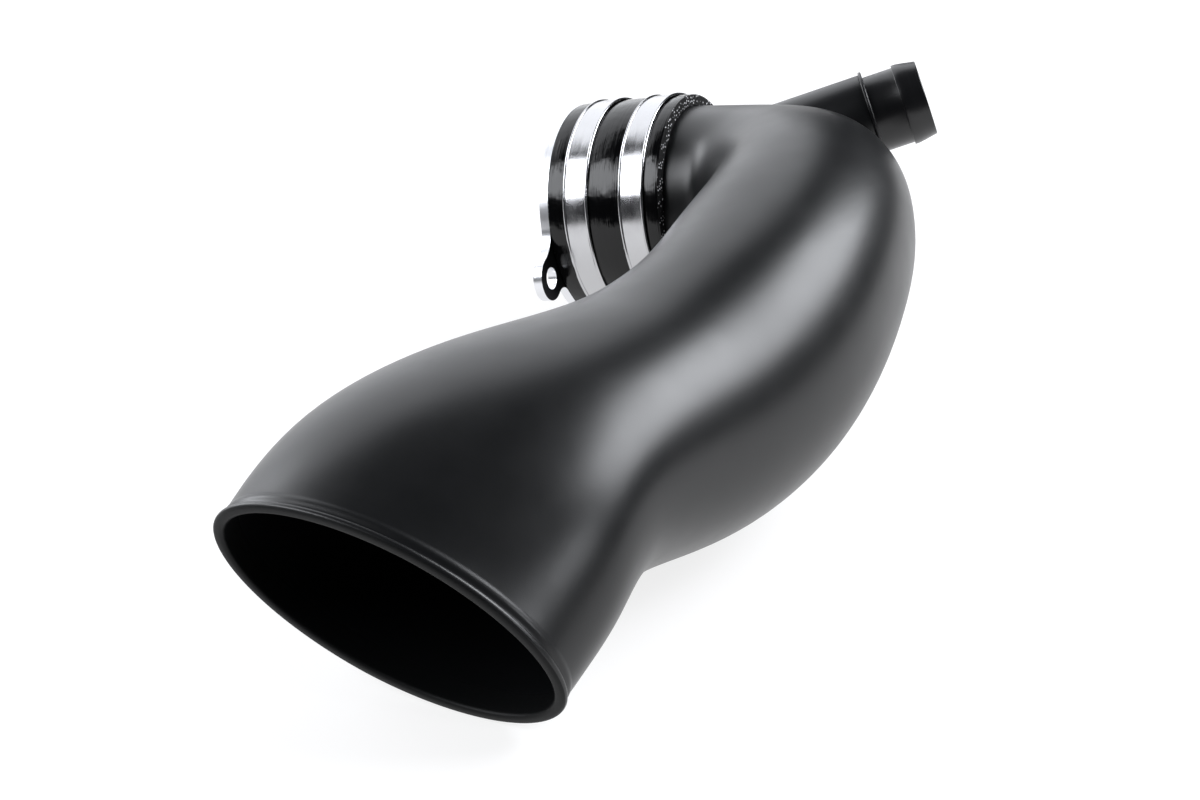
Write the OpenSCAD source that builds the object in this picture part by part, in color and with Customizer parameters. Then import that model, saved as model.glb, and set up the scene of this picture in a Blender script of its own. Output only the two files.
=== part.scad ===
// Cold air intake pipe: a moulded duct from a wide oval mouth to a silicone coupler with two
// worm drive clamps and an eared flange, and a hose spigot at the back of the bend.
// The part lies as it comes to rest: z = 0 is the floor, and the coupler points along +X.

/* [Coupler end] */
// Bore of the silicone coupler, which is the outside of the tubes in it
coupler_bore = 89; // [85:0.5:92]
// Wall of the coupler
coupler_wall = 5; // [4:0.5:5.5]
// Length of the coupler
coupler_length = 54.5; // [52:0.5:58]
// Rise of the coupler's axis toward the duct, in degrees
coupler_rise = 12.8; // [11:0.1:14]

/* [Flange] */
// Radius of the flange's round plate
flange_r = 49.4; // [49:0.1:52]
// Thickness of the flange plate
flange_t = 4.2; // [3.5:0.1:6]
// Wall of the flange's tube
flange_wall = 4; // [3:0.5:5]
// Length of the flange's tube in the coupler
flange_insert = 26; // [22:0.5:26]
// Distance of the ears' holes from the axis
ear_reach = 58.2; // [56:0.1:62]
// Radius of the ears' ends
ear_r = 10; // [9:0.5:12]
// Radius of the ears' holes
ear_hole_r = 5; // [3:0.5:5.5]
// Angle of the ears round the axis, from straight down
ear_angle = 79; // [70:1:90]

/* [Clamps] */
// Width of the clamp bands
band_w = 12.2; // [10:0.1:13]
// Thickness of the clamp bands
band_t = 0.8; // [0.6:0.1:1]
// Distance of the first band from the flange plate
front_band_at = 8; // [7:0.5:9]
// Distance of the second band from the coupler's end at the duct
rear_band_in = 7.1; // [6:0.1:9]
// Angle of the screw housings round the axis, from straight down
housing_angle = 76; // [60:1:90]

/* [Duct] */
// Gap in the coupler between the duct's end and the flange's tube
tube_gap = 5; // [3:0.5:8]
// Wall of the moulded duct
duct_wall = 3; // [2:0.5:4]
// Radius of the bead round the mouth
bead_r = 1.6; // [1.2:0.1:2]
// Points round each ring of the duct
ring_points = 44; // [24:4:56]
// Rings along the outside of the duct
outer_rings = 42; // [24:2:50]
// Rings along the inside of the duct
inner_rings = 30; // [20:2:40]

/* [Hose spigot] */
// Radius of the barrel that the hose clamps on
barrel_r = 17.4; // [15:0.1:18]
// Length of the barrel between the collar and the barb
barrel_length = 13.6; // [12:0.1:16]
// Radius of the barb's step
barb_r = 18.4; // [18:0.1:19]
// Length of the barb
barb_length = 10.7; // [9:0.1:12]
// Radius of the collar
collar_r = 20.2; // [19.5:0.1:22]
// Thickness of the collar
collar_t = 1.4; // [1:0.1:2]
// Radius of the spigot's bore
spigot_bore_r = 14; // [12:0.1:14.4]
// Radius of the stub behind the collar
stub_r = 19.1; // [18.8:0.1:20]
// Wall of the stub round the spigot's shank
stub_wall = 2.4; // [1.8:0.1:2.8]
// Radius of the port in the duct's wall under the stub
port_r = 13; // [10:0.5:13.5]

/* [Hidden] */
$fn = 96;
eps = 0.01;

satin_black = [0.07, 0.07, 0.075];
gloss_black = [0.04, 0.04, 0.045];
anodised_black = [0.05, 0.05, 0.055];
rubber_black = [0.03, 0.03, 0.03];
steel = [0.78, 0.79, 0.8];
screw_steel = [0.66, 0.67, 0.68];

// The bounding box's middle lies over the origin: this is where the flange's centre then is
flange_x = -81.26;
flange_y = 145.28;

tube_r = coupler_bore / 2;
coupler_r = tube_r + coupler_wall;
coupler_z = flange_r * cos(coupler_rise) + flange_t * sin(coupler_rise);
function on_axis(s) = [flange_x + s * cos(coupler_rise), flange_y, coupler_z + s * sin(coupler_rise)];

// Everything at the coupler is drawn with the axis along local z, x pointing down
module at_coupler(s = 0) {
    translate(on_axis(s)) rotate([0, 90 - coupler_rise, 0]) children();
}

// Duct: rows of a uniform cubic B-spline, each [x, y, z, half width, half height, roll, squareness].
// The first two rows continue the coupler's axis, the last two lie on the mouth's own axis.
spline_start = coupler_length - 4.5;
straight_run = 36.5;
mouth = [66, -346, 41.65];
mouth_heading = -92.9;
mouth_dip = 17.1;
mouth_run = 45.5;
mouth_axis = [cos(mouth_dip) * cos(mouth_heading), cos(mouth_dip) * sin(mouth_heading), -sin(mouth_dip)];
function duct_row(x, y, z, w, h, roll, sq) = [flange_x + x, flange_y + y, z, w, h, roll, sq];
mouth_at = duct_row(mouth[0], mouth[1], mouth[2], 67.2, 37.7, 21.5, 1.92);
mouth_centre = [mouth_at[0], mouth_at[1], mouth_at[2]];
mouth_neck = concat(mouth_centre - mouth_run * mouth_axis, [71.5, 47, 13.5, 2.13]);
duct_rows = [
    concat(on_axis(spline_start), [tube_r, tube_r, 0, 2]),
    concat(on_axis(spline_start + straight_run), [39.5, 42, 1, 2.2]),
    duct_row(123.5, -40.5, 86, 43, 43, -8, 2.2),
    duct_row(127, -105.5, 77, 51.5, 48, -7.5, 2.2),
    duct_row(126, -151, 63, 51.5, 54.5, -5.5, 2.1),
    duct_row(108.5, -203, 54.5, 54.5, 52, -10, 2.1),
    duct_row(80, -257, 64, 63.5, 45.5, -1.5, 2.1),
    mouth_neck,
    mouth_at
];

last_row = len(duct_rows) - 1;
// One mirrored row beyond each end keeps the ends straight
padded_rows = concat([2 * duct_rows[0] - duct_rows[1]], duct_rows,
                     [2 * duct_rows[last_row] - duct_rows[last_row - 1]]);
function weights(u) = [pow(1 - u, 3), 3 * pow(u, 3) - 6 * u * u + 4,
                       -3 * pow(u, 3) + 3 * u * u + 3 * u + 1, pow(u, 3)] / 6;
function slopes(u) = [-pow(1 - u, 2), 3 * u * u - 4 * u, -3 * u * u + 2 * u + 1, u * u] / 2;
function blend(w, i) = w[0] * padded_rows[i] + w[1] * padded_rows[i + 1]
                     + w[2] * padded_rows[i + 2] + w[3] * padded_rows[i + 3];
function span(t) = min(floor(t * last_row), last_row - 1);
function duct_at(t) = blend(weights(t * last_row - span(t)), span(t));
function heading_at(t) = let (d = blend(slopes(t * last_row - span(t)), span(t))) unit([d[0], d[1], d[2]]);
function unit(v) = v / norm(v);

// One ring of points: centre, direction, roll, half sizes and squareness
function ring(c, dir, roll, w, h, sq) =
    let (side = unit(cross(dir, [0, 0, 1])), up = cross(side, dir),
         across = side * cos(roll) + up * sin(roll), along = up * cos(roll) - side * sin(roll))
    [for (i = [0 : ring_points - 1]) let (a = 360 * i / ring_points)
        c + across * w * sign(cos(a)) * pow(abs(cos(a)), 2 / sq)
          + along * h * sign(sin(a)) * pow(abs(sin(a)), 2 / sq)];
function duct_ring(t, out) = let (r = duct_at(t))
    ring([r[0], r[1], r[2]], heading_at(t), r[5], r[3] + out, r[4] + out, r[6]);
coupler_dir = [cos(coupler_rise), 0, sin(coupler_rise)];
function tube_ring(s, r) = ring(on_axis(s), coupler_dir, 0, r, r, 2);
// A ring near the mouth: back from its plane, and out from the wall
function mouth_ring(back, out) = duct_ring(1 - back / (mouth_run * last_row), out);
function beyond_mouth(ahead, out) =
    ring(mouth_centre + ahead * mouth_axis, mouth_axis, mouth_at[5], mouth_at[3] + out,
         mouth_at[4] + out, mouth_at[6]);

// A solid through rings, with flat ends
module loft(rings) {
    n = ring_points;
    m = len(rings);
    polyhedron(
        points = [for (r = rings) each r],
        faces = concat(
            [[for (i = [n - 1 : -1 : 0]) i]],
            [[for (i = [0 : n - 1]) (m - 1) * n + i]],
            [for (k = [0 : m - 2], i = [0 : n - 1], j = [0, 1])
                let (i2 = (i + 1) % n, a = k * n, b = (k + 1) * n)
                j == 0 ? [a + i, b + i2, b + i] : [a + i, a + i2, b + i2]]));
}

// Both tubes in the coupler end in a low bead that keeps them there: distance from the tube's
// end, and height over the tube. The beads lie in a groove of the coupler.
bead_h = 0.8;
bead_l = 4;
bead_clear = 0.05;
bead_side_clear = 0.2;
retaining_bead = [[0, -bead_h], [0.15 * bead_l, bead_h / 2], [bead_l / 2, bead_h],
                  [0.85 * bead_l, bead_h / 2], [bead_l, 0]];
duct_end = flange_insert + tube_gap;

// The mouth's rim: an end bead, a groove and a low ridge, distances counted back from its plane
ridge_back = 5.8;
ridge_h = 0.45;
ridge_half = 1.6;
lip_back = 12;
lip_round = 1.2;
lip_t = 1 - lip_back / (mouth_run * last_row);

module duct_outside() {
    loft(concat(
        [for (b = retaining_bead) tube_ring(duct_end + b[0], tube_r + b[1])],
        [for (i = [0 : outer_rings - 1]) duct_ring(lip_t * i / outer_rings, 0)],
        [mouth_ring(lip_back, 0), mouth_ring(ridge_back + ridge_half / 2, ridge_h * 0.65),
         mouth_ring(ridge_back, ridge_h), mouth_ring(ridge_back - ridge_half / 2, ridge_h * 0.65),
         mouth_ring(ridge_back - ridge_half, 0)],
        [for (a = [165 : -30 : 15]) mouth_ring(bead_r * (1 - cos(a)), bead_r * sin(a))],
        [mouth_ring(0, -bead_r / 9)]));
}

module duct_inside() {
    loft(concat(
        [for (s = [duct_end - eps, duct_end + bead_l]) tube_ring(s, tube_r - duct_wall)],
        [for (i = [0 : inner_rings - 1]) duct_ring(lip_t * i / inner_rings, -duct_wall)],
        [mouth_ring(lip_back, -duct_wall), mouth_ring(3 * lip_round, -duct_wall),
         mouth_ring(0.85 * lip_round, 0.3 * lip_round - duct_wall), mouth_ring(0, lip_round - duct_wall),
         beyond_mouth(lip_round, 2 * lip_round - duct_wall)]));
}

// Hose spigot: local z runs out along it, from the collar's back face. Its shank is bonded into
// a stub tube and sealed by an O-ring, and the stub is welded round a port in the duct's wall.
spigot_seat = [flange_x + 122.5, flange_y + 28.5, 103.4];
spigot_rise = 20;
spigot_heading = 22.7;
spigot_dir = [cos(spigot_rise) * cos(spigot_heading), cos(spigot_rise) * sin(spigot_heading), sin(spigot_rise)];
// The stub is drawn back level with the start of the duct's curve, inside the duct
stub_length = (spigot_seat - on_axis(spline_start)) * spigot_dir;
shank_clear = 0.05;
shank_r = stub_r - stub_wall - shank_clear;
shank_length = 8;
spigot_seal_at = -4.4;
spigot_seal_w = 2.2;
spigot_seal_depth = 1.5;
barb_land = 2;
barb_tip_r = 16.6;
spigot_edge = 0.3;
module at_spigot() {
    translate(spigot_seat) rotate([0, 90 - spigot_rise, spigot_heading]) children();
}

module pipe_body() {
    color(satin_black) difference() {
        duct_outside();
        duct_inside();
        at_spigot() translate([0, 0, -stub_length]) cylinder(h = stub_length, r = port_r);
    }
}

module breather_stub() {
    color(satin_black) difference() {
        at_spigot() translate([0, 0, -stub_length]) cylinder(h = stub_length, r = stub_r);
        duct_outside();
        at_spigot() translate([0, 0, -stub_length - eps])
            cylinder(h = stub_length + 2 * eps, r = shank_r + shank_clear);
    }
}

module breather_spigot() {
    seal_back = spigot_seal_at - spigot_seal_w / 2;
    seal_front = spigot_seal_at + spigot_seal_w / 2;
    barb_at = collar_t + barrel_length;
    tip = barb_at + barb_length;
    color(anodised_black) at_spigot() rotate_extrude() polygon([
        [spigot_bore_r, -shank_length], [shank_r - 2 * spigot_edge, -shank_length],
        [shank_r, 2 * spigot_edge - shank_length], [shank_r, seal_back],
        [shank_r - spigot_seal_depth, seal_back], [shank_r - spigot_seal_depth, seal_front],
        [shank_r, seal_front], [shank_r, 0], [collar_r - spigot_edge, 0], [collar_r, spigot_edge],
        [collar_r, collar_t - spigot_edge], [collar_r - spigot_edge, collar_t], [barrel_r, collar_t],
        [barrel_r, barb_at], [barb_r, barb_at], [barb_r, barb_at + barb_land], [barb_tip_r + spigot_edge, tip - spigot_edge],
        [barb_tip_r, tip], [spigot_bore_r + spigot_edge, tip], [spigot_bore_r, tip - spigot_edge]]);
}

module spigot_o_ring() {
    cord_r = spigot_seal_depth / 2 - eps;
    color(rubber_black) at_spigot() translate([0, 0, spigot_seal_at])
        rotate_extrude() translate([shank_r - spigot_seal_depth / 2, 0]) circle(r = cord_r, $fn = 24);
}

coupler_edge = 0.5;
module silicone_coupler() {
    color(gloss_black) difference() {
        at_coupler() rotate_extrude() polygon([
            [tube_r, 0], [coupler_r - coupler_edge, 0], [coupler_r, coupler_edge],
            [coupler_r, coupler_length - coupler_edge], [coupler_r - coupler_edge, coupler_length],
            [tube_r, coupler_length]]);
        at_coupler(flange_insert - bead_l - bead_side_clear)
            cylinder(h = duct_end - flange_insert + 2 * (bead_l + bead_side_clear),
                     r = tube_r + bead_h + bead_clear);
        for (start = [front_band_at, rear_band_at]) saddle_foot(start, saddle_t + 1);
    }
}

// Flange: a round plate with two ears, and a tube in the coupler
flange_bore_r = tube_r - flange_wall;
ear_fillet = [6, 14];
seal_r = (flange_bore_r + flange_r) / 2;
seal_cord_r = 1.3;
seal_groove_w = 3;
seal_groove_depth = 2;
module ear_plan() {
    function corner(f) = let (a = flange_r + f, b = ear_r + f,
        c = (a * a + ear_reach * ear_reach - b * b) / (2 * a * ear_reach)) [a * c, a * sqrt(1 - c * c)];
    upper = corner(ear_fillet[0]);
    lower = corner(ear_fillet[1]);
    difference() {
        union() {
            polygon([[0, 0], [upper[0], upper[1]], [ear_reach, 0], [lower[0], -lower[1]]]);
            translate([ear_reach, 0]) circle(r = ear_r);
        }
        translate([upper[0], upper[1]]) circle(r = ear_fillet[0]);
        translate([lower[0], -lower[1]]) circle(r = ear_fillet[1]);
    }
}
module turbo_flange() {
    color(anodised_black) at_coupler() difference() {
        union() {
            translate([0, 0, -flange_t]) linear_extrude(flange_t) union() {
                circle(r = flange_r);
                for (a = [-ear_angle, 180 - ear_angle]) rotate(a) ear_plan();
            }
            rotate_extrude() polygon(concat(
                [[flange_bore_r - 1, -1], [tube_r, -1]],
                [for (i = [len(retaining_bead) - 1 : -1 : 0])
                    [tube_r + retaining_bead[i][1], flange_insert - retaining_bead[i][0]]],
                [[flange_bore_r - 1, flange_insert]]));
        }
        translate([0, 0, -flange_t - 1]) cylinder(h = flange_insert + flange_t + 2, r = flange_bore_r);
        for (a = [-ear_angle, 180 - ear_angle]) rotate(a)
            translate([ear_reach, 0, -flange_t - 1]) cylinder(h = flange_t + 2, r = ear_hole_r);
        rotate_extrude() translate([seal_r - seal_groove_w / 2, -flange_t - 1])
            square([seal_groove_w, 1 + seal_groove_depth]);
    }
}

module flange_o_ring() {
    color(rubber_black) at_coupler(seal_groove_depth - flange_t - seal_cord_r)
        rotate_extrude() translate([seal_r, 0]) circle(r = seal_cord_r, $fn = 24);
}

// Clamps: a band with rolled edges, whose grooved tail laps it and runs under the worm screw
edge_r = 0.7;
tail_w = 8.4;
tail_sweep = 74;
tail_lead = 30;
thread_lead = 4;
thread_pitch = 3.2;
thread_count = 18;
thread_w = 1.3;
thread_length = 6;
thread_lean = 9;
rear_band_at = coupler_length - rear_band_in - band_w;
band_out_r = coupler_r + band_t;
tail_out_r = band_out_r + band_t;
saddle_t = 0.6;
saddle_sweep = 24;
saddle_side = 0.8;
saddle_gap = 0.1;
tab_l = 10;
tab_reach = 5.2;
housing_l = 15;
housing_wall = 1.9;
screw_r = 3.9;
screw_clear = 0.15;
screw_play = 0.3;
screw_tip = 2;
screw_at = tail_out_r + saddle_gap + screw_r;
housing_r = screw_r + screw_clear + housing_wall;
head_af = 8;
head_l = 6;
head_collar = 1.2;
head_collar_r = screw_r + 0.5;
driver_slot = 1.2;
// Local x runs out through the clamp's screw, local z along the coupler
module at_clamp(start) {
    at_coupler(start) rotate(housing_angle) children();
}

module clamp_band(start) {
    color(steel) at_clamp(start) difference() {
        union() {
            rotate_extrude() translate([coupler_r, 0]) square([band_t, band_w]);
            for (z = [edge_r, band_w - edge_r])
                rotate_extrude() translate([coupler_r + edge_r, z]) circle(r = edge_r, $fn = 20);
            rotate(-tail_lead) rotate_extrude(angle = tail_sweep)
                translate([band_out_r - eps, (band_w - tail_w) / 2]) square([band_t + eps, tail_w]);
        }
        for (i = [0 : thread_count - 1]) rotate(thread_lead - tail_lead + i * thread_pitch)
            translate([band_out_r + band_t / 2, 0, band_w / 2]) rotate([thread_lean, 0, 0])
                translate([0, -thread_w / 2, -thread_length / 2]) cube([band_t, thread_w, thread_length]);
    }
}

// The saddle's foot is pressed into the coupler under the band, and its tabs hold the housing
module saddle_foot(start, height) {
    side = saddle_side + saddle_gap;
    at_clamp(start) rotate(-saddle_sweep / 2) rotate_extrude(angle = saddle_sweep)
        translate([coupler_r - saddle_t, -side]) square([height, band_w + 2 * side]);
}
module clamp_saddle(start) {
    color(steel) union() {
        saddle_foot(start, saddle_t);
        at_clamp(start) for (z = [-saddle_side - saddle_gap, band_w + saddle_gap])
            translate([coupler_r - saddle_t / 2, -tab_l / 2, z]) cube([tab_reach, tab_l, saddle_side]);
    }
}

// The housing is a bridge over the screw that stands on the band's rolled edges
module clamp_housing(start) {
    foot_r = coupler_r + 2 * edge_r;
    color(steel) at_clamp(start) difference() {
        union() {
            translate([coupler_r, -housing_l / 2, band_w / 2 - housing_r])
                cube([screw_at - coupler_r, housing_l, 2 * housing_r]);
            translate([screw_at, housing_l / 2, band_w / 2]) rotate([90, 0, 0])
                cylinder(h = housing_l, r = housing_r);
        }
        translate([0, 0, -1]) cylinder(h = band_w + 2, r = foot_r);
        translate([coupler_r - 1, -housing_l, (band_w - tail_w) / 2 - saddle_gap])
            cube([screw_at - coupler_r + 1, 2 * housing_l, tail_w + 2 * saddle_gap]);
        translate([screw_at, housing_l, band_w / 2]) rotate([90, 0, 0])
            cylinder(h = 2 * housing_l, r = screw_r + screw_clear);
    }
}

module clamp_screw(start) {
    color(screw_steel) at_clamp(start) translate([screw_at, housing_l / 2 + screw_play, band_w / 2])
        rotate([-90, 0, 0]) difference() {
            union() {
                translate([0, 0, -housing_l - screw_tip]) cylinder(h = housing_l + screw_tip + eps, r = screw_r);
                cylinder(h = head_collar, r = head_collar_r);
                cylinder(h = head_collar + head_l, r = head_af / 2 / cos(30), $fn = 6);
            }
            translate([-head_af, -driver_slot / 2, head_collar + head_l - driver_slot])
                cube([2 * head_af, driver_slot, 2 * driver_slot]);
        }
}

module front_clamp_band() { clamp_band(front_band_at); }
module front_clamp_housing() { clamp_housing(front_band_at); }
module front_clamp_saddle() { clamp_saddle(front_band_at); }
module front_clamp_screw() { clamp_screw(front_band_at); }
module rear_clamp_band() { clamp_band(rear_band_at); }
module rear_clamp_housing() { clamp_housing(rear_band_at); }
module rear_clamp_saddle() { clamp_saddle(rear_band_at); }
module rear_clamp_screw() { clamp_screw(rear_band_at); }

pipe_body();
breather_stub();
breather_spigot();
spigot_o_ring();
silicone_coupler();
turbo_flange();
flange_o_ring();
front_clamp_band();
front_clamp_housing();
front_clamp_saddle();
front_clamp_screw();
rear_clamp_band();
rear_clamp_housing();
rear_clamp_saddle();
rear_clamp_screw();
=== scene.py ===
import math
import bmesh
import bpy
from mathutils import Matrix, Vector
from mathutils.bvhtree import BVHTree


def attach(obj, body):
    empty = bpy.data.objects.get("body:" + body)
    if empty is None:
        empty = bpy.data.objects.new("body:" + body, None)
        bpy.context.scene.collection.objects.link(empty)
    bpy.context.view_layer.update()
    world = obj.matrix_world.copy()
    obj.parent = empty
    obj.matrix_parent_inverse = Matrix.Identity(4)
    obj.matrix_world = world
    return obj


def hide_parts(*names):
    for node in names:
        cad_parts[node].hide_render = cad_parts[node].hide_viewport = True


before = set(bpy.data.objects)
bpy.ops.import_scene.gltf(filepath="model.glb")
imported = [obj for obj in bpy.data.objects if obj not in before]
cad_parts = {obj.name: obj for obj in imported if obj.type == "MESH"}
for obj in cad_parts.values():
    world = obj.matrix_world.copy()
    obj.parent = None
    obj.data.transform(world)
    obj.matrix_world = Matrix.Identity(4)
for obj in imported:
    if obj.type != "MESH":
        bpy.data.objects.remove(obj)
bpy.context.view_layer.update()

# Camera
# It stands where the photograph's camera did, 27 degrees above the floor in front of the mouth,
# with the long lens that keeps the far coupler nearly as large as the near mouth.
camera = bpy.data.objects.new("camera", bpy.data.cameras.new("camera"))
camera.data.lens = 73.5
camera.data.sensor_width = 36
camera.data.clip_start = 0.02
camera_pitch = math.radians(27)
camera_heading = math.radians(112.479)
camera.location = (0.32621, -0.83382, 0.48983)
camera.rotation_euler = (math.radians(90) - camera_pitch, 0, camera_heading - math.radians(90))
bpy.context.scene.collection.objects.link(camera)
bpy.context.scene.camera = camera
bpy.context.scene.view_settings.view_transform = "Standard"


# Softboxes
# Two softboxes, a wide diffuser, a small box and a strip round a dark studio. The large softbox
# behind on the right draws the ridge down the duct, the rest light the coupler and the shoulders.
def softbox(name, azimuth, elevation, distance, width, height, brightness):
    """An area light at that direction from the part, facing it; brightness is its surface's own."""
    a, e = math.radians(azimuth), math.radians(elevation)
    light = bpy.data.lights.new(name, "AREA")
    light.shape = "RECTANGLE"
    light.size, light.size_y = width, height
    light.energy = brightness * math.pi * width * height
    light.color = (0.94, 0.96, 1.0)
    lamp = bpy.data.objects.new(name, light)
    lamp.location = Vector((math.cos(e) * math.cos(a), math.cos(e) * math.sin(a), math.sin(e))) * distance
    lamp.rotation_euler = (math.radians(90) - e, 0, a + math.radians(90))
    lamp.visible_camera = False
    bpy.context.scene.collection.objects.link(lamp)


softbox("right_softbox", 41, 41, 3.0, 2.2, 1.55, 11.5)
softbox("left_softbox", -141, 38, 3.0, 1.68, 1.4, 7.0)
softbox("far_diffuser", 148, 27, 3.0, 4.7, 3.0, 1.75)
softbox("back_box", 170, 27, 2.85, 0.9, 1.2, 6.0)
softbox("right_strip", -9, 26, 3.0, 0.2, 0.72, 27)

world = bpy.data.worlds.new("studio")
bpy.context.scene.world = world
world.use_nodes = True
studio = world.node_tree
backdrop = studio.nodes["Background"]
seen_by = studio.nodes.new("ShaderNodeLightPath")
room = studio.nodes.new("ShaderNodeMix")
room.data_type = "RGBA"
room.inputs[6].default_value = (0.022, 0.023, 0.025, 1)
room.inputs[7].default_value = (1.0, 1.0, 1.0, 1)
studio.links.new(seen_by.outputs["Is Camera Ray"], room.inputs[0])
studio.links.new(room.outputs[2], backdrop.inputs["Color"])


# Floor
# White sweep paper, matt, wide enough to fill the picture.
def linear(hex_colour):
    """The linear colour of an sRGB hex value."""
    parts = [int(hex_colour[i:i + 2], 16) / 255 for i in (1, 3, 5)]
    return [p / 12.92 if p <= 0.04045 else ((p + 0.055) / 1.055) ** 2.4 for p in parts] + [1]


def add_node(material, kind, settings=None, links=None):
    """Adds a node: settings are its own values or its sockets', links are what feeds its sockets."""
    node = material.node_tree.nodes.new("ShaderNode" + kind)
    for name, value in (settings or {}).items():
        if isinstance(name, int) or name in node.inputs:
            node.inputs[name].default_value = value
        else:
            setattr(node, name, value)
    for name, source in (links or {}).items():
        material.node_tree.links.new(source, node.inputs[name])
    return node


def new_material(name, settings):
    """A material with those values on its main shader, and that shader."""
    material = bpy.data.materials.new(name)
    material.use_nodes = True
    shader = material.node_tree.nodes["Principled BSDF"]
    for socket, value in settings.items():
        shader.inputs[socket].default_value = value
    return material, shader


floor_half = 3.0
sheet = bmesh.new()
bmesh.ops.create_grid(sheet, x_segments=2, y_segments=2, size=floor_half)
floor_mesh = bpy.data.meshes.new("floor")
sheet.to_mesh(floor_mesh)
sheet.free()
floor = bpy.data.objects.new("floor", floor_mesh)
bpy.context.scene.collection.objects.link(floor)
# Matt white paper, with a little light of its own so that it stays white in the soft shadow.
paper, paper_shader = new_material("sweep_paper", {"Base Color": linear("#8c8c8d"), "Roughness": 0.9})
paper_shader.inputs["Specular IOR Level"].default_value = 0.2
paper_shader.inputs["Emission Color"].default_value = linear("#ffffff")
paper_shader.inputs["Emission Strength"].default_value = 0.8
floor_mesh.materials.append(paper)

# Moulded duct
# One satin black moulding, from the round end in the coupler through the S-bend to the beaded
# oval mouth, with a 3 mm wall and a port under the stub. A flat sheet of faces is wrapped round
# the duct's path, closed inside and out, and the port is cut through it.
MM = 0.001
flange_centre = Vector((-81.26, 145.28, 49.103))
coupler_rise = math.radians(12.8)
coupler_dir = Vector((math.cos(coupler_rise), 0, math.sin(coupler_rise)))
tube_r = 44.5
duct_wall = 3
duct_end = 31
spline_start = 50
mouth_run = 45.5
mouth_dip, mouth_heading = math.radians(17.1), math.radians(-92.9)
mouth_axis = Vector((math.cos(mouth_dip) * math.cos(mouth_heading),
                     math.cos(mouth_dip) * math.sin(mouth_heading), -math.sin(mouth_dip)))


def on_axis(s):
    """The point of the coupler's axis at that distance from the flange plate's inner face."""
    return flange_centre + s * coupler_dir


def duct_row(x, y, z, *section):
    """A row of the duct's path, from the flange's centre in plan and from the floor in height."""
    return [flange_centre.x + x, flange_centre.y + y, z, *section]


mouth_row = duct_row(66, -346, 41.65, 67.2, 37.7, 21.5, 1.92)
mouth_centre = Vector(mouth_row[:3])
duct_rows = [
    [*on_axis(spline_start), tube_r, tube_r, 0, 2],
    [*on_axis(spline_start + 36.5), 39.5, 42, 1, 2.2],
    duct_row(123.5, -40.5, 86, 43, 43, -8, 2.2),
    duct_row(127, -105.5, 77, 51.5, 48, -7.5, 2.2),
    duct_row(126, -151, 63, 51.5, 54.5, -5.5, 2.1),
    duct_row(108.5, -203, 54.5, 54.5, 52, -10, 2.1),
    duct_row(80, -257, 64, 63.5, 45.5, -1.5, 2.1),
    [*(mouth_centre - mouth_run * mouth_axis), 71.5, 47, 13.5, 2.13],
    mouth_row,
]
spans = len(duct_rows) - 1
before_first = [2 * a - b for a, b in zip(duct_rows[0], duct_rows[1])]
after_last = [2 * a - b for a, b in zip(duct_rows[-1], duct_rows[-2])]
path = [before_first] + duct_rows + [after_last]


def section_at(t, out):
    """The duct's section at t, from 0 to 1 along it: centre, heading, roll, half sizes, squareness."""
    k = min(int(t * spans), spans - 1)
    u = t * spans - k
    weights = [(1 - u) ** 3 / 6, (3 * u ** 3 - 6 * u * u + 4) / 6,
               (-3 * u ** 3 + 3 * u * u + 3 * u + 1) / 6, u ** 3 / 6]
    slopes = [-(1 - u) ** 2 / 2, (3 * u * u - 4 * u) / 2, (-3 * u * u + 2 * u + 1) / 2, u * u / 2]
    row = [sum(w * path[k + i][j] for i, w in enumerate(weights)) for j in range(7)]
    heading = Vector([sum(w * path[k + i][j] for i, w in enumerate(slopes)) for j in range(3)])
    return Vector(row[:3]), heading.normalized(), row[5], row[3] + out, row[4] + out, row[6]


def tube_section(s, r):
    """A round section in the coupler."""
    return on_axis(s), coupler_dir, 0, r, r, 2


def mouth_section(back, out):
    """A section that distance behind the mouth's plane."""
    return section_at(1 - back / (mouth_run * spans), out)


def point_on(section, angle):
    """The point of a section at that angle round it."""
    centre, heading, roll, half_w, half_h, squareness = section
    side = heading.cross(Vector((0, 0, 1))).normalized()
    up = side.cross(heading)
    tilt = math.radians(roll)
    across = side * math.cos(tilt) + up * math.sin(tilt)
    along = up * math.cos(tilt) - side * math.sin(tilt)
    c, s = math.cos(angle), math.sin(angle)
    power = 2 / squareness
    return (centre + across * half_w * math.copysign(abs(c) ** power, c)
            + along * half_h * math.copysign(abs(s) ** power, s))


bead_r = 1.6
ridge_back, ridge_half, ridge_h = 5.8, 2.2, 0.34
lip_back = 12
lip_t = 1 - lip_back / (mouth_run * spans)
lip_round = 1.9
outer_steps, inner_steps, round_steps = 170, 90, 128
retaining_bead = [(0, -0.8), (0.3, -0.1), (0.6, 0.4), (1.3, 0.7),
                  (2, 0.8), (2.7, 0.7), (3.4, 0.4), (4, 0)]
sections = [tube_section(duct_end + s, tube_r + h) for s, h in retaining_bead]
sections += [tube_section(s, tube_r) for s in (38, 42, 46)]
sections += [section_at(lip_t * i / outer_steps, 0) for i in range(outer_steps + 1)]
ridge_steps = 12
for i in range(ridge_steps + 1):
    along_ridge = 2 * i / ridge_steps - 1
    sections.append(mouth_section(ridge_back - ridge_half * along_ridge,
                                  ridge_h * math.cos(along_ridge * math.pi / 2) ** 2))
sections += [mouth_section(2 * bead_r + 0.3, 0), mouth_section(2 * bead_r + 0.15, 0.03)]
bead_steps = 12
for i in range(bead_steps + 1):
    turn = math.radians(172 - 164 * i / bead_steps)
    sections.append(mouth_section(bead_r * (1 - math.cos(turn)), bead_r * math.sin(turn)))
bead_front_rows = 5
lip_start = len(sections) - bead_front_rows
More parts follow.
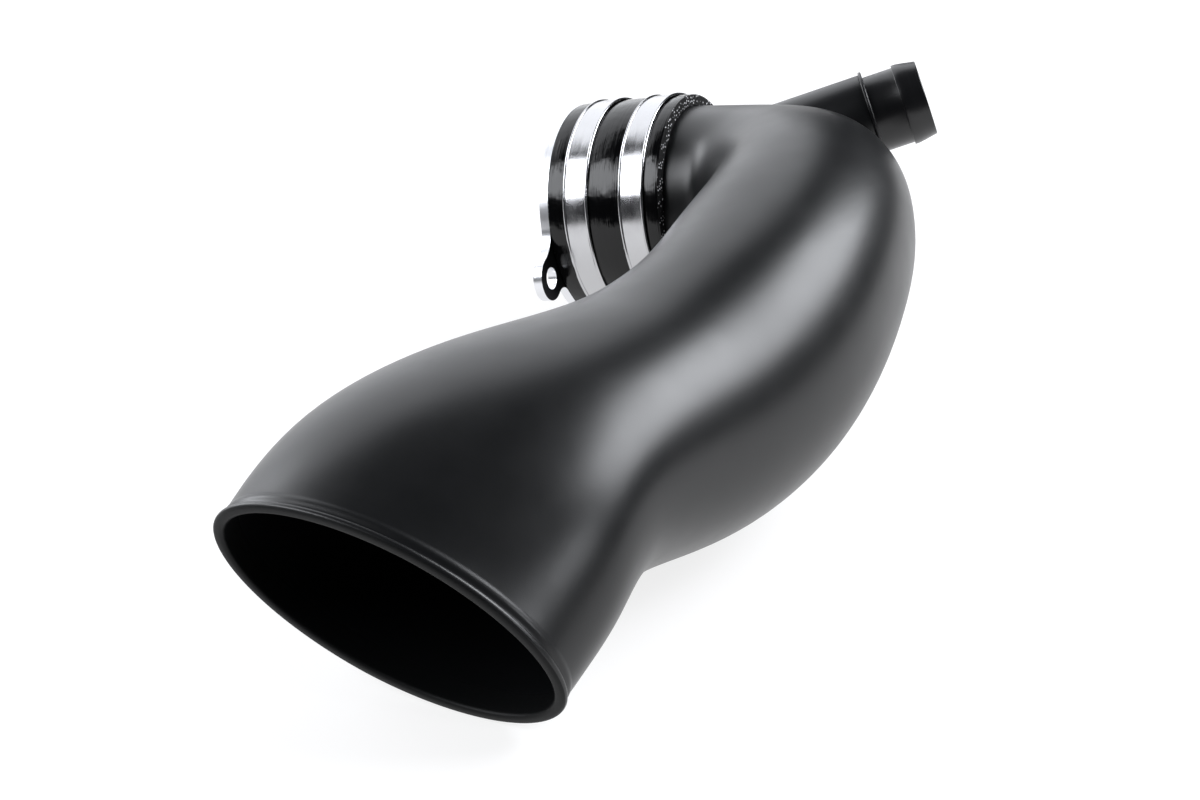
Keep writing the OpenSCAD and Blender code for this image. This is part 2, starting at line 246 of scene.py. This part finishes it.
for i in range(7):
    turn = math.radians(15 * i)
    sections.append(mouth_section(lip_round * (1 - math.cos(turn)),
                                  -duct_wall + lip_round * (1 - math.sin(turn))))
sections.append(mouth_section(3 * lip_round, -duct_wall))
lip_end = len(sections)
sections += [section_at(lip_t * i / inner_steps, -duct_wall) for i in range(inner_steps, -1, -1)]
sections += [tube_section(s, tube_r - duct_wall) for s in (44, 38, duct_end)]
sections.append(sections[0])

shell = bmesh.new()
bmesh.ops.create_grid(shell, x_segments=round_steps, y_segments=len(sections) - 1, size=1)
# The lip's rows get the second material, the painted shade on the mouth's lip.
for face in shell.faces:
    row = (face.calc_center_median().y + 1) / 2 * (len(sections) - 1)
    face.material_index = int(lip_start < row < lip_end)
for v in shell.verts:
    turn = round((v.co.x + 1) / 2 * round_steps) * 2 * math.pi / round_steps
    v.co = point_on(sections[round((v.co.y + 1) / 2 * (len(sections) - 1))], turn) * MM
bmesh.ops.remove_doubles(shell, verts=shell.verts, dist=0.01 * MM)
bmesh.ops.recalc_face_normals(shell, faces=shell.faces)
outside = BVHTree.FromBMesh(shell)

spigot_seat = flange_centre + Vector((122.5, 28.5, 103.4 - flange_centre.z))
spigot_place = (Matrix.Translation(spigot_seat * MM) @ Matrix.Rotation(math.radians(22.7), 4, "Z")
                @ Matrix.Rotation(math.radians(70), 4, "Y"))
port_r, port_reach = 13, 62


def turned(profile, place, steps=160, closed=True, edge=0.0):
    """A turned piece: its section of (radius, height) points in mm, spun round the axis."""
    form = bmesh.new()
    corners = [form.verts.new((r * MM, 0, z * MM)) for r, z in profile]
    pairs = list(zip(corners, corners[1:])) + ([(corners[-1], corners[0])] if closed else [])
    lines = [form.edges.new(pair) for pair in pairs]
    bmesh.ops.spin(form, geom=corners + lines, cent=(0, 0, 0), axis=(0, 0, 1), dvec=(0, 0, 0),
                   angle=2 * math.pi, steps=steps, use_merge=True)
    bmesh.ops.remove_doubles(form, verts=form.verts, dist=0.001 * MM)
    if edge:
        sharp = [e for e in form.edges if e.is_manifold and e.calc_face_angle() > math.radians(35)]
        bmesh.ops.bevel(form, geom=sharp, offset=edge * MM, segments=3, profile=0.5, affect="EDGES",
                        material=-1, clamp_overlap=True)
    bmesh.ops.recalc_face_normals(form, faces=form.faces)
    bmesh.ops.transform(form, matrix=place, verts=form.verts)
    return form


def piece_from(name, form, materials, replaced=(), smooth=40):
    """A finished piece of the part from a bmesh, in place of the named CAD nodes."""
    mesh = bpy.data.meshes.new(name)
    form.to_mesh(mesh)
    form.free()
    mesh.shade_smooth()
    mesh.set_sharp_from_angle(angle=math.radians(smooth))
    for material in materials:
        mesh.materials.append(material)
    piece = bpy.data.objects.new(name, mesh)
    bpy.context.scene.collection.objects.link(piece)
    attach(piece, "root")
    if replaced:
        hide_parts(*replaced)
    return piece


# Satin black moulding, nylon or PU from a grained tool: a broad soft gloss over a nearly black
# body, with a grain of about half a millimetre and a faint unevenness of the wall.
moulding, moulding_shader = new_material("satin_black_moulding", {
    "Base Color": linear("#0b0c0d"), "Roughness": 0.34, "IOR": 1.5})
place = add_node(moulding, "TexCoord").outputs["Object"]
grain = add_node(moulding, "TexNoise", {"Scale": 1900, "Detail": 3, "Roughness": 0.6}, {"Vector": place})
haze = add_node(moulding, "TexNoise", {"Scale": 55, "Detail": 4, "Roughness": 0.55}, {"Vector": place})
rough = add_node(moulding, "MapRange", {"From Min": 0.3, "From Max": 0.7, "To Min": 0.32, "To Max": 0.36},
                 {"Value": haze.outputs["Fac"]})
tint = add_node(moulding, "MixRGB", {"Color1": linear("#08090a"), "Color2": linear("#0e0f11")},
                {"Fac": grain.outputs["Fac"]})
relief = add_node(moulding, "Bump", {"Strength": 0.16, "Distance": 0.00012},
                  {"Height": grain.outputs["Fac"]})
moulding.node_tree.links.new(rough.outputs["Result"], moulding_shader.inputs["Roughness"])
moulding.node_tree.links.new(tint.outputs["Color"], moulding_shader.inputs["Base Color"])
moulding.node_tree.links.new(relief.outputs["Normal"], moulding_shader.inputs["Normal"])

# The mouth's lip is painted shade: a darker colour and a weaker, duller reflection than the skin.
lip_shade, lip_shade_shader = new_material("painted_lip_shade", {
    "Base Color": linear("#08090a"), "Roughness": 0.5, "IOR": 1.3})
place = add_node(lip_shade, "TexCoord").outputs["Object"]
scuffs = add_node(lip_shade, "TexNoise", {"Scale": 500, "Detail": 4}, {"Vector": place})
relief = add_node(lip_shade, "Bump", {"Strength": 0.3, "Distance": 0.0002}, {"Height": scuffs.outputs["Fac"]})
lip_shade.node_tree.links.new(relief.outputs["Normal"], lip_shade_shader.inputs["Normal"])

duct = piece_from("moulded_duct", shell, [moulding, lip_shade], ["pipe_body"], 50)
port = turned([(0, 0), (port_r, 0), (port_r, -port_reach), (0, -port_reach)], spigot_place, 96, closed=False)
port_mesh = bpy.data.meshes.new("port")
port.to_mesh(port_mesh)
port.free()
cutter = bpy.data.objects.new("port", port_mesh)
bpy.context.scene.collection.objects.link(cutter)
cut = duct.modifiers.new("port", "BOOLEAN")
cut.operation, cut.object, cut.solver = "DIFFERENCE", cutter, "EXACT"
bpy.context.view_layer.update()
evaluated = duct.evaluated_get(bpy.context.evaluated_depsgraph_get())
with_port = bmesh.new()
with_port.from_mesh(evaluated.to_mesh())
evaluated.to_mesh_clear()
duct.modifiers.clear()
bpy.data.objects.remove(cutter)
with_port.to_mesh(duct.data)
with_port.free()
duct.data.shade_smooth()
duct.data.set_sharp_from_angle(angle=math.radians(50))

# Stub
# A short tube of the same moulding, scribed to the duct's wall and welded round the port with no
# fillet. Each point of its foot goes along the tube until it is just in the wall.
stub_r, stub_bore_r, stub_blank, foot_sink = 19.1, 16.7, 8, 0.3
stub = turned([(stub_r, 0), (stub_r, -stub_blank), (stub_bore_r, -stub_blank), (stub_bore_r, 0)],
              spigot_place, 128, edge=0.35)
out_of_stub = (spigot_place.to_3x3() @ Vector((0, 0, 1))).normalized()
for v in stub.verts:
    local = spigot_place.inverted() @ v.co
    if local.z < -stub_blank / 2 * MM:
        start = spigot_place @ Vector((local.x, local.y, -1 * MM))
        hit = outside.ray_cast(start, -out_of_stub)
        if hit[0]:
            v.co = hit[0] - out_of_stub * (foot_sink * MM / max(0.35, abs(hit[1].dot(out_of_stub))))
piece_from("welded_stub", stub, [moulding], ["breather_stub"], 40)

# Silicone coupler
# A short length of glossy black hose, wrapped from fabric and silicone on a mandrel, which leaves
# fine rings round it, and cut square, so the fabric's weave shows grey in its ends.
coupler_place = Matrix.Translation(on_axis(0) * MM) @ Matrix.Rotation(math.radians(90) - coupler_rise, 4, "Y")
coupler_turn = (0, math.radians(90) - coupler_rise, 0)
coupler_r, coupler_length = 49.5, 54.5
groove_r = tube_r + 0.85
# Silicone rubber cured under tape: a wet gloss, broken by rings about 1 mm apart and slow waves.
silicone, silicone_shader = new_material("wrapped_silicone", {
    "Base Color": linear("#060607"), "Roughness": 0.12, "IOR": 1.4})
place = add_node(silicone, "TexCoord").outputs["Object"]
local = add_node(silicone, "Mapping", {"vector_type": "TEXTURE", "Location": on_axis(0) * MM,
                                       "Rotation": coupler_turn}, {"Vector": place})
parts = add_node(silicone, "SeparateXYZ", None, {"Vector": local.outputs["Vector"]})
round_angle = add_node(silicone, "Math", {"operation": "ARCTAN2"},
                       {0: parts.outputs["Y"], 1: parts.outputs["X"]})
slow_angle = add_node(silicone, "Math", {"operation": "MULTIPLY", 1: 0.0011},
                      {0: round_angle.outputs[0]})
wrap = add_node(silicone, "CombineXYZ", None, {"X": slow_angle.outputs[0], "Z": parts.outputs["Z"]})
rings = add_node(silicone, "TexNoise", {"Scale": 900, "Detail": 3, "Roughness": 0.6},
                 {"Vector": wrap.outputs[0]})
waves = add_node(silicone, "TexNoise", {"Scale": 130, "Detail": 2, "Roughness": 0.5}, {"Vector": place})
bumps = add_node(silicone, "Math", {"operation": "MULTIPLY_ADD", 1: 0.5},
                 {0: rings.outputs["Fac"], 2: waves.outputs["Fac"]})
relief = add_node(silicone, "Bump", {"Strength": 0.6, "Distance": 0.0004}, {"Height": bumps.outputs[0]})
sheen = add_node(silicone, "MapRange", {"From Min": 0.35, "From Max": 0.7, "To Min": 0.07, "To Max": 0.16},
                 {"Value": rings.outputs["Fac"]})
silicone.node_tree.links.new(relief.outputs["Normal"], silicone_shader.inputs["Normal"])
silicone.node_tree.links.new(sheen.outputs["Result"], silicone_shader.inputs["Roughness"])

# The cut shows thread ends as pale dots in the black rubber. They are drawn 1.6 mm apart, coarser
# than the real weave, so that they show.
weave, weave_shader = new_material("cut_fabric_edge", {"Base Color": linear("#0c0c0d"), "Roughness": 0.8})
weave_shader.inputs["Specular IOR Level"].default_value = 0.25
place = add_node(weave, "TexCoord").outputs["Object"]
threads = add_node(weave, "TexVoronoi", {"Scale": 620, "Randomness": 0.6}, {"Vector": place})
ends = add_node(weave, "ValToRGB", None, {"Fac": threads.outputs["Distance"]})
ends.color_ramp.elements[0].color = linear("#dcdcdf")
ends.color_ramp.elements[0].position = 0.14
ends.color_ramp.elements[1].position = 0.32
ends.color_ramp.elements[1].color = linear("#050506")
nubs = add_node(weave, "Bump", {"Strength": 0.9, "Distance": 0.0004, "invert": True},
                {"Height": threads.outputs["Distance"]})
weave.node_tree.links.new(ends.outputs["Color"], weave_shader.inputs["Base Color"])
weave.node_tree.links.new(nubs.outputs["Normal"], weave_shader.inputs["Normal"])

# The clamps squeeze it, so it swells a little between them and beside them.
swell = [(coupler_r + height * math.sin(math.pi * i / 8) ** 0.8, start + (end - start) * i / 8)
         for start, end, height in ((0.4, 8, 0.15), (20.2, 35.2, 0.4), (47.4, coupler_length - 0.5, 0.2))
         for i in range(9)]
hose = turned([(tube_r, 0), (coupler_r - 0.4, 0), *swell,
               (coupler_r - 0.5, coupler_length), (tube_r, coupler_length), (tube_r, 35.2), (groove_r, 35.2),
               (groove_r, 21.8), (tube_r, 21.8)], coupler_place, 256)
for face in hose.faces:
    along = face.normal.dot(coupler_dir)
    if abs(along) > 0.5:
        middle = coupler_place.inverted() @ face.calc_center_median()
        if middle.z < 1 * MM or middle.z > (coupler_length - 1) * MM:
            face.material_index = 1
piece_from("silicone_hose", hose, [silicone, weave], ["silicone_coupler"], 30)

# Flange
# Machined from aluminium plate and black anodised, then the rim was skimmed bright. Its tube holds
# the coupler, an O-ring seals its face, and two ears take the bolts.
# Black anodised plate: a dark, slightly blotched sheen.
anodised, anodised_shader = new_material("black_anodised_aluminium", {
    "Base Color": linear("#1a1a1c"), "Metallic": 1, "Roughness": 0.38})
place = add_node(anodised, "TexCoord").outputs["Object"]
bloom = add_node(anodised, "TexNoise", {"Scale": 400, "Detail": 3}, {"Vector": place})
rough = add_node(anodised, "MapRange", {"To Min": 0.32, "To Max": 0.46}, {"Value": bloom.outputs["Fac"]})
relief = add_node(anodised, "Bump", {"Strength": 0.1, "Distance": 0.0001},
                  {"Height": bloom.outputs["Fac"]})
anodised.node_tree.links.new(rough.outputs["Result"], anodised_shader.inputs["Roughness"])
anodised.node_tree.links.new(relief.outputs["Normal"], anodised_shader.inputs["Normal"])

# Bare aluminium as the lathe left it: bright, with fine lines round the rim.
machined, machined_shader = new_material("machined_aluminium", {
    "Base Color": linear("#e6e7ea"), "Metallic": 1, "Roughness": 0.28})
place = add_node(machined, "TexCoord").outputs["Object"]
local = add_node(machined, "Mapping",
                 {"vector_type": "TEXTURE", "Location": on_axis(0) * MM, "Rotation": coupler_turn,
                  "Scale": (0.02, 0.02, 0.0006)}, {"Vector": place})
cuts = add_node(machined, "TexNoise", {"Scale": 1, "Detail": 3}, {"Vector": local.outputs["Vector"]})
relief = add_node(machined, "Bump", {"Strength": 0.35, "Distance": 0.0001}, {"Height": cuts.outputs["Fac"]})
machined.node_tree.links.new(relief.outputs["Normal"], machined_shader.inputs["Normal"])


def smoothed_copy(node, edge):
    """A copy of a CAD node's mesh with its corners joined and its sharp edges broken."""
    form = bmesh.new()
    form.from_mesh(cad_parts[node].data)
    bmesh.ops.remove_doubles(form, verts=form.verts, dist=0.002 * MM)
    bmesh.ops.dissolve_limit(form, angle_limit=math.radians(0.5), verts=form.verts, edges=form.edges)
    sharp = [e for e in form.edges if e.is_manifold and e.calc_face_angle() > math.radians(30)]
    if edge:
        bmesh.ops.bevel(form, geom=sharp, offset=edge * MM, segments=2, profile=0.5, affect="EDGES",
                        material=-1, clamp_overlap=True)
    return form


plate = smoothed_copy("turbo_flange", 0)
for face in plate.faces:
    middle = coupler_place.inverted() @ face.calc_center_median()
    flat = abs(face.normal.dot(coupler_dir)) < 0.5
    if flat and middle.z < -0.01 * MM and middle.xy.length > 48 * MM:
        face.material_index = 1
piece_from("eared_flange", plate, [anodised, machined], ["turbo_flange"], 25)

# Nitrile rubber: matt black, moulded with a faint roughness.
seal_rubber, seal_shader = new_material("seal_rubber", {"Base Color": linear("#0b0b0c"), "Roughness": 0.5})
place = add_node(seal_rubber, "TexCoord").outputs["Object"]
dust = add_node(seal_rubber, "TexNoise", {"Scale": 700, "Detail": 3}, {"Vector": place})
relief = add_node(seal_rubber, "Bump", {"Strength": 0.2, "Distance": 0.0001}, {"Height": dust.outputs["Fac"]})
seal_rubber.node_tree.links.new(relief.outputs["Normal"], seal_shader.inputs["Normal"])


def cord_ring(ring_r, cord_r, height):
    """The round section of an O-ring."""
    return [(ring_r + cord_r * math.cos(math.radians(a)), height + cord_r * math.sin(math.radians(a)))
            for a in range(0, 360, 20)]


piece_from("flange_seal", turned(cord_ring(44.95, 1.3, -3.5), coupler_place, 128), [seal_rubber],
           ["flange_o_ring"])
piece_from("fitting_seal", turned(cord_ring(15.9, 0.74, -4.4), spigot_place, 96), [seal_rubber],
           ["spigot_o_ring"])

# Hose fitting
# Turned from aluminium and anodised black. Its shank is bonded into the stub up to the thin collar,
# and a barb at the end keeps the hose on its barrel.
# The thick black oxide hides the metal, so it is drawn as a dark glassy skin over feed lines 0.9 mm
# apart, coarser than the real ones, so that they show.
satin_anodised, satin_shader = new_material("black_anodised_turned", {
    "Base Color": linear("#0c0c0e"), "Metallic": 0, "Roughness": 0.28, "IOR": 1.5})
place = add_node(satin_anodised, "TexCoord").outputs["Object"]
local = add_node(satin_anodised, "Mapping", {"vector_type": "TEXTURE", "Location": spigot_seat * MM,
                                             "Rotation": (0, math.radians(70), math.radians(22.7)),
                                             "Scale": (0.02, 0.02, 0.0009)}, {"Vector": place})
feed = add_node(satin_anodised, "TexNoise", {"Scale": 1, "Detail": 3}, {"Vector": local.outputs["Vector"]})
relief = add_node(satin_anodised, "Bump", {"Strength": 0.25, "Distance": 0.0001},
                  {"Height": feed.outputs["Fac"]})
rough = add_node(satin_anodised, "MapRange", {"To Min": 0.24, "To Max": 0.38}, {"Value": feed.outputs["Fac"]})
satin_anodised.node_tree.links.new(relief.outputs["Normal"], satin_shader.inputs["Normal"])
satin_anodised.node_tree.links.new(rough.outputs["Result"], satin_shader.inputs["Roughness"])
bore_r, shank_r, seal_groove_r, thin_collar_r, barrel_r, barb_r = 14, 16.65, 15.15, 20.2, 17.4, 18.4
shank_end, groove_start, groove_end, collar_top, barb_at, mouth_at = -8, -5.5, -3.3, 1.4, 15, 25.4
fitting = turned([(bore_r, shank_end), (16.05, shank_end), (shank_r, -7.4), (shank_r, groove_start),
                  (seal_groove_r, groove_start), (seal_groove_r, groove_end), (shank_r, groove_end),
                  (shank_r, 0), (19.95, 0), (thin_collar_r, 0.25), (thin_collar_r, 1.15),
                  (19.95, collar_top), (barrel_r, collar_top), (barrel_r, barb_at), (barb_r, barb_at),
                  (barb_r, 17), (17.95, 19.8), (17.3, 23.2), (16.9, mouth_at), (16.6, 25.7),
                  (14.3, 25.7), (bore_r, mouth_at)], spigot_place, 160, edge=0.15)
piece_from("hose_fitting", fitting, [satin_anodised], ["breather_spigot"], 30)

# Clamps
# The bands are stainless strip with rolled edges, polished by rolling, with faint lines along it,
# and the tail has grooves that the screw's thread pressed. The housings and the saddles are pressed
# from the same strip, and the screws are zinc plated steel.
band_w, band_r, band_t, edge_r = 12.2, 49.5, 0.8, 0.7
front_band_at, rear_band_at, housing_angle = 8, 35.2, 76
# Rolled stainless steel: nearly a mirror, with lines along the strip and duller smears.
strip, strip_shader = new_material("rolled_stainless_steel", {
    "Base Color": linear("#bfbfc1"), "Metallic": 1, "Roughness": 0.15})
place = add_node(strip, "TexCoord").outputs["Object"]
local = add_node(strip, "Mapping", {"vector_type": "TEXTURE", "Location": on_axis(0) * MM,
                                    "Rotation": coupler_turn}, {"Vector": place})
parts = add_node(strip, "SeparateXYZ", None, {"Vector": local.outputs["Vector"]})
round_angle = add_node(strip, "Math", {"operation": "ARCTAN2"},
                       {0: parts.outputs["Y"], 1: parts.outputs["X"]})
slow_angle = add_node(strip, "Math", {"operation": "MULTIPLY", 1: 0.004}, {0: round_angle.outputs[0]})
along_strip = add_node(strip, "CombineXYZ", None, {"X": slow_angle.outputs[0], "Z": parts.outputs["Z"]})
lines = add_node(strip, "TexNoise", {"Scale": 1400, "Detail": 3}, {"Vector": along_strip.outputs[0]})
smear = add_node(strip, "TexNoise", {"Scale": 130, "Detail": 3}, {"Vector": place})
rough = add_node(strip, "MapRange", {"From Min": 0.3, "From Max": 0.7, "To Min": 0.13, "To Max": 0.24},
                 {"Value": smear.outputs["Fac"]})
relief = add_node(strip, "Bump", {"Strength": 0.12, "Distance": 0.0001}, {"Height": lines.outputs["Fac"]})
strip.node_tree.links.new(rough.outputs["Result"], strip_shader.inputs["Roughness"])
strip.node_tree.links.new(relief.outputs["Normal"], strip_shader.inputs["Normal"])

rolled = [(band_r + edge_r + edge_r * math.cos(math.radians(a)), edge_r + edge_r * math.sin(math.radians(a)))
          for a in range(60, -210, -15)]
band_section = [(band_r + band_t, band_w / 2), (band_r + band_t, 1.32), *rolled[1:],
                (band_r, 1.2), (band_r, band_w / 2)]
tail_w, tail_from, tail_sweep, tail_strips = 8.4, -30, 74, 24
groove_depth, groove_slant, groove_half_w, groove_from, groove_to = 0.4, 0.18, 3, 3, 62
screw_pitch, screw_r, screw_root_r, screw_length, thread_turns = 3.2, 3.9, 3.3, 17, 4.3
screw_shoulder_at, washer_r, washer_t = 7.8, 4.4, 1.2
head_corner_r, head_height, head_middle, slot_w, slot_depth = 4.62, 6, 4.2, 1.2, 1.2
screw_at = band_r + 2 * band_t + 0.1 + screw_r
# Zinc plate: greyer and duller than the strip, with an uneven film.
bright_screw, screw_shader = new_material("zinc_plated_screw", {
    "Base Color": linear("#b9babd"), "Metallic": 1, "Roughness": 0.3})
place = add_node(bright_screw, "TexCoord").outputs["Object"]
film = add_node(bright_screw, "TexNoise", {"Scale": 500, "Detail": 4}, {"Vector": place})
rough = add_node(bright_screw, "MapRange", {"To Min": 0.22, "To Max": 0.42}, {"Value": film.outputs["Fac"]})
bright_screw.node_tree.links.new(rough.outputs["Result"], screw_shader.inputs["Roughness"])

for name, start in (("front", front_band_at), ("rear", rear_band_at)):
    band_place = coupler_place @ Matrix.Translation((0, 0, start * MM))
    clamp_place = band_place @ Matrix.Rotation(math.radians(housing_angle), 4, "Z")
    half = turned(band_section, Matrix.Identity(4), 256, closed=False)
    bmesh.ops.mirror(half, geom=half.verts[:] + half.edges[:] + half.faces[:],
                     matrix=Matrix.Translation((0, 0, -band_w / 2 * MM)), merge_dist=0.002 * MM, axis="Z")
    bmesh.ops.recalc_face_normals(half, faces=half.faces)
    bmesh.ops.transform(half, matrix=band_place, verts=half.verts)
    tail = bmesh.new()
    rows = [tail.verts.new(((band_r + 2 * band_t) * MM, 0,
                            (band_w / 2 + tail_w * (i / tail_strips - 0.5)) * MM))
            for i in range(tail_strips + 1)]
    lines_across = [tail.edges.new(pair) for pair in zip(rows, rows[1:])]
    bmesh.ops.spin(tail, geom=rows + lines_across, cent=(0, 0, 0), axis=(0, 0, 1), dvec=(0, 0, 0),
                   angle=math.radians(tail_sweep), steps=300)
    for v in tail.verts:
        turn = math.degrees(math.atan2(v.co.y, v.co.x))
        across = v.co.z / MM - band_w / 2
        thread_angle = 2 * math.pi * (turn - groove_slant * across) / screw_pitch
        depth = groove_depth * max(0, math.cos(thread_angle)) ** 0.5
        if abs(across) < groove_half_w and groove_from < turn < groove_to:
            v.co.xy *= 1 - depth / (band_r + 2 * band_t)
    bmesh.ops.recalc_face_normals(tail, faces=tail.faces)
    bmesh.ops.solidify(tail, geom=tail.faces[:], thickness=band_t * MM)
    bmesh.ops.recalc_face_normals(tail, faces=tail.faces)
    tail_place = clamp_place @ Matrix.Rotation(math.radians(tail_from), 4, "Z")
    bmesh.ops.transform(tail, matrix=tail_place, verts=tail.verts)
    tail_mesh = bpy.data.meshes.new("tail")
    tail.to_mesh(tail_mesh)
    tail.free()
    half.from_mesh(tail_mesh)
    piece_from(name + "_band", half, [strip], [name + "_clamp_band"], 40)
    for part in ("housing", "saddle"):
        piece_from(name + "_" + part, smoothed_copy(name + "_clamp_" + part, 0.2), [strip],
                   [name + "_clamp_" + part], 35)
    screw_place = (clamp_place @ Matrix.Translation((screw_at * MM, screw_shoulder_at * MM, band_w / 2 * MM))
                   @ Matrix.Rotation(math.radians(-90), 4, "X"))
    worm = bmesh.new()
    ridge = ((3.1, 0), (screw_root_r, 0.9), (screw_r, 1.3), (screw_r, 1.9), (screw_root_r, 2.3), (3.1, 3.2))
    thread = [worm.verts.new((r * MM, 0, (z - screw_length) * MM)) for r, z in ridge]
    thread_lines = [worm.edges.new(pair) for pair in zip(thread, thread[1:])]
    bmesh.ops.spin(worm, geom=thread + thread_lines, cent=(0, 0, 0), axis=(0, 0, 1),
                   dvec=(0, 0, screw_pitch / 48 * MM), angle=2 * math.pi * thread_turns,
                   steps=int(48 * thread_turns))
    bmesh.ops.remove_doubles(worm, verts=worm.verts, dist=0.02 * MM)
    bmesh.ops.recalc_face_normals(worm, faces=worm.faces)
    bar = turned([(0, -screw_length), (screw_root_r, -screw_length), (screw_root_r, 0), (washer_r, 0),
                  (washer_r, washer_t), (0, washer_t)], Matrix.Identity(4), 64, closed=False, edge=0.2)
    bar_mesh = bpy.data.meshes.new("bar")
    bar.to_mesh(bar_mesh)
    bar.free()
    worm.from_mesh(bar_mesh)
    head = bmesh.new()
    bmesh.ops.create_cone(head, cap_ends=True, segments=6, radius1=head_corner_r * MM,
                          radius2=head_corner_r * MM, depth=head_height * MM)
    bmesh.ops.bevel(head, geom=head.edges[:], offset=0.35 * MM, segments=2, profile=0.5, affect="EDGES",
                    material=-1, clamp_overlap=True)
    bmesh.ops.transform(head, matrix=Matrix.Translation((0, 0, head_middle * MM)), verts=head.verts)
    slot_cut = bmesh.new()
    bmesh.ops.create_cube(slot_cut, size=1)
    slot_place = (Matrix.Translation((0, 0, (head_middle + head_height / 2) * MM))
                  @ Matrix.Diagonal((20 * MM, slot_w * MM, 2 * slot_depth * MM, 1)))
    bmesh.ops.transform(slot_cut, matrix=slot_place, verts=slot_cut.verts)
    head_mesh, slot_mesh = bpy.data.meshes.new("head"), bpy.data.meshes.new("slot")
    head.to_mesh(head_mesh)
    slot_cut.to_mesh(slot_mesh)
    head.free()
    slot_cut.free()
    head_piece = bpy.data.objects.new("head", head_mesh)
    slot_piece = bpy.data.objects.new("slot", slot_mesh)
    for scratch in (head_piece, slot_piece):
        bpy.context.scene.collection.objects.link(scratch)
    cut = head_piece.modifiers.new("slot", "BOOLEAN")
    cut.operation, cut.object, cut.solver = "DIFFERENCE", slot_piece, "EXACT"
    bpy.context.view_layer.update()
    slotted = head_piece.evaluated_get(bpy.context.evaluated_depsgraph_get())
    worm.from_mesh(slotted.to_mesh())
    slotted.to_mesh_clear()
    bpy.data.objects.remove(head_piece)
    bpy.data.objects.remove(slot_piece)
    bmesh.ops.transform(worm, matrix=screw_place, verts=worm.verts)
    piece_from(name + "_screw", worm, [bright_screw], [name + "_clamp_screw"], 35)
